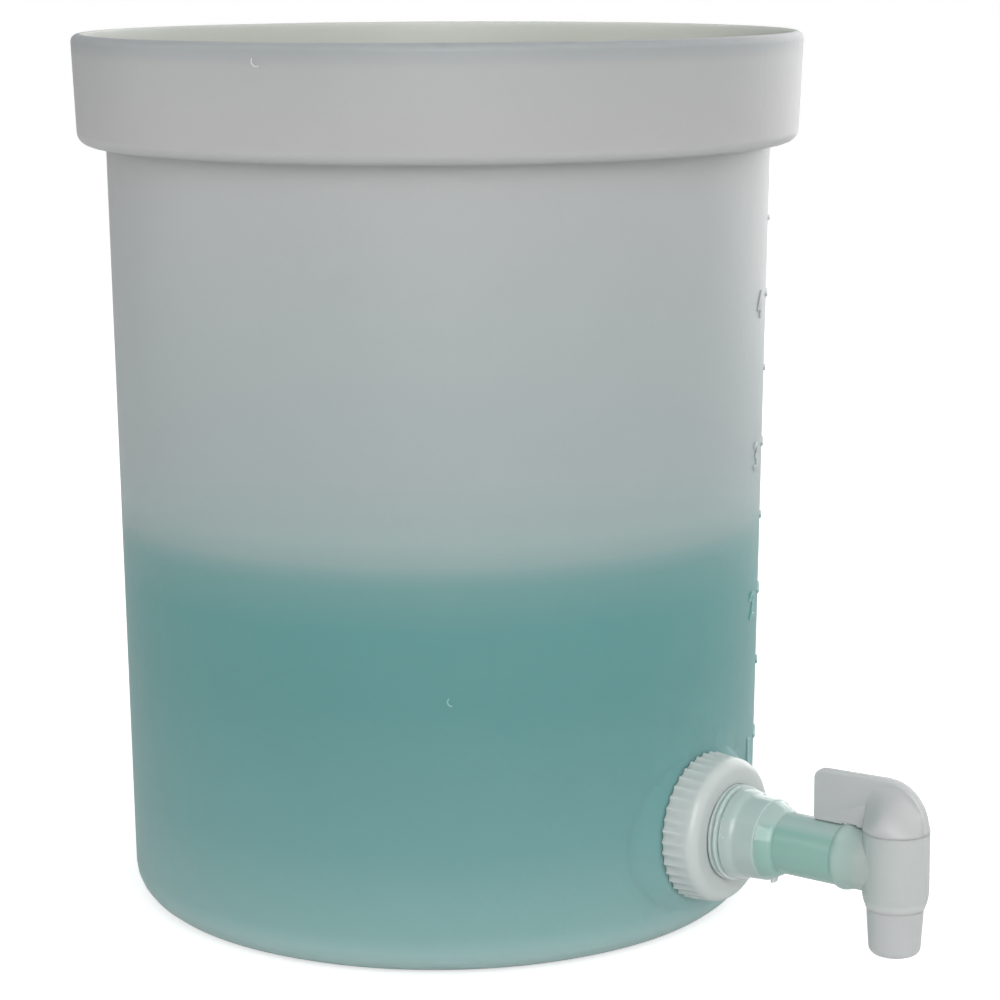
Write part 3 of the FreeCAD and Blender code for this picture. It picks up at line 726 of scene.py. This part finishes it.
PLUG_RADIUS = 7.35
HEAD_SEAT = 9.406
NOZZLE_BORE = 4.3
HOLLOW_TOP = 6.4
PORT = 3.8
plug_shape = turned([
    (0, -23.3, 0),
    (6.62, -23.3, 1.9),
    (6.87, -19, 0),
    (7.33, -12.5, 0.5),
    (PLUG_RADIUS, -10.9, 0),
    (PLUG_RADIUS, HEAD_SEAT + 0.4, 0),
    (0, HEAD_SEAT + 0.4, 0),
], SPIGOT_STEPS)
plug_mesh = finish_mesh("valve_moulding", placed(plug_shape, AT_VALVE))
hollow = finish_mesh("hollow", plain_bar(NOZZLE_BORE, -30, HOLLOW_TOP, BORE_STEPS, AT_VALVE))
plug_mesh = combined("valve_moulding", plug_mesh, hollow, "DIFFERENCE")
port = finish_mesh("port", plain_bar(PORT, 0, 15, 48, AT_VALVE @ Matrix.Rotation(-math.pi / 2, 4, "X")))
plug_mesh = combined("valve_moulding", plug_mesh, port, "DIFFERENCE")

# The round head is squashed smoothly into the flat blade as it rises, like a chisel.
HEAD_RADIUS = 8.68
HEAD_SHOULDER = 10.2
HEAD_TOP = 21.6
ROUND_RISE = 8
BLADE_CORE = 1.15
CORNER_START = 11.2
CORNER_ROUND = 11.6
head_shape = turned([
    (0, HEAD_SEAT, 0),
    (HEAD_RADIUS, HEAD_SEAT, 0.03),
    (HEAD_RADIUS, HEAD_TOP, 0),
    (0, HEAD_TOP, 0),
], SPIGOT_STEPS, row=0.5)
for corner in head_shape.verts:
    rise = corner.co.z / MM
    done = min(1.0, max(0.0, (rise - HEAD_SHOULDER) / (HEAD_TOP - HEAD_SHOULDER)))
    eased = 0.3 * done + 0.7 * done * done * (3 - 2 * done)
    still_round = min(1.0, max(0.0, 1 - (rise - HEAD_SHOULDER) / ROUND_RISE)) ** 2
    out = corner.co.xy.length / (HEAD_RADIUS * MM)
    if out > 0.01 and abs(corner.co.y) > ON_AXIS:
        across = corner.co.x / MM / out
        on_circle = abs(corner.co.y) / MM / out
        bump = math.cos(math.pi / 2 * across / HEAD_RADIUS) ** 2
        on_bump = BLADE_CORE + (HEAD_RADIUS - BLADE_CORE) * (1 - eased) * bump
        corner.co.y *= still_round + (1 - still_round) * on_bump / on_circle
    if corner.co.x > 0:
        past = max(0.0, rise - CORNER_START)
        corner.co.x *= 1 - (CORNER_ROUND - math.sqrt(CORNER_ROUND ** 2 - past ** 2)) / HEAD_RADIUS
plug_mesh = combined("valve_moulding", plug_mesh, finish_mesh("head", placed(head_shape, AT_VALVE)), "UNION")

# The blade is a flat plate with a rounded rim, and a small notch under it clears the tube's bead.
BLADE_THICKNESS = 2.6
BLADE_RIM = 0.55
NOTCH_PLACE = (-13.35, 0, 8.0)
NOTCH_SIZE = (4.5, 5, 1.92)
blade_corners = [(-24.1, 8.3, 0.6), (-8.8, 8.3, 0), (-8.0, HEAD_SEAT + 0.3, 0), (9.0, HEAD_SEAT + 0.3, 0.8),
                 (9.0, 22.8, CORNER_ROUND), (-3.5, 22.7, 0), (-24.1, 22.1, 2.8)]
blade_shape = bmesh.new()
blade_points = [blade_shape.verts.new((x * MM, -BLADE_THICKNESS / 2 * MM, z * MM))
                for x, z, _ in blade_corners]
blade_shape.faces.new(blade_points)
for point, (_, _, rounding) in zip(blade_points, blade_corners):
    if rounding:
        bmesh.ops.bevel(blade_shape, geom=[point], offset=rounding * MM, offset_type="OFFSET", segments=10,
                        profile=0.5, affect="VERTICES", material=-1)
spread = bmesh.ops.extrude_face_region(blade_shape, geom=blade_shape.faces[:])
bmesh.ops.translate(blade_shape, vec=(0, BLADE_THICKNESS * MM, 0),
                    verts=[part for part in spread["geom"] if isinstance(part, bmesh.types.BMVert)])
bmesh.ops.recalc_face_normals(blade_shape, faces=blade_shape.faces[:])
flat_faces = [face for face in blade_shape.faces if abs(face.normal.y) > 0.9]
rim_edges = [edge for face in flat_faces for edge in face.edges if edge.calc_length() > 0.02 * MM]
bmesh.ops.bevel(blade_shape, geom=rim_edges, offset=BLADE_RIM * MM, offset_type="OFFSET", segments=4,
                profile=0.5, affect="EDGES", material=-1)
blade_mesh = finish_mesh("blade", placed(blade_shape, AT_VALVE))
notch_shape = bmesh.new()
bmesh.ops.create_cube(notch_shape, size=1.0, matrix=block_at(NOTCH_PLACE, NOTCH_SIZE))
blade_mesh = combined("blade", blade_mesh, finish_mesh("notch", placed(notch_shape, AT_VALVE)), "DIFFERENCE")
plug_mesh = combined("valve_moulding", plug_mesh, blade_mesh, "UNION")
valve = show_object("valve_moulding", plug_mesh)
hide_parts("valve_plug")
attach(valve, "valve")

# Moulded polyethylene: waxy light grey, duller than the tube, its shading softened by light in the plastic.
waxy, tree = new_material("waxy_valve_polyethylene")
skin = add_node(tree, "BsdfPrincipled", {
    "Base Color": linear("#C2C4C4"), "Roughness": 0.4, "IOR": 1.51,
    "Subsurface Weight": 1.0, "Subsurface Scale": 2 * MM, "Subsurface Radius": (1.0, 1.0, 1.0)})
add_node(tree, "OutputMaterial", {"Surface": skin.outputs[0]})
valve.data.materials.clear()
valve.data.materials.append(waxy)


# Gasket: a soft washer of silicone rubber between the flange and the inside of the wall.
# It is pressed flat as the nut is tightened. Its ring already has its true shape, so it only gets its finish.

# Silicone rubber, moulded: an even matt off-white with no gleam.
rubber, tree = new_material("white_silicone_rubber")
skin = add_node(tree, "BsdfPrincipled", {"Base Color": linear("#B9BBB8"), "Roughness": 0.6, "IOR": 1.41})
add_node(tree, "OutputMaterial", {"Surface": skin.outputs[0]})
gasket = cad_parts["spigot_gasket"]
for place in gasket.material_slots:
    place.link = "OBJECT"
    place.material = rubber
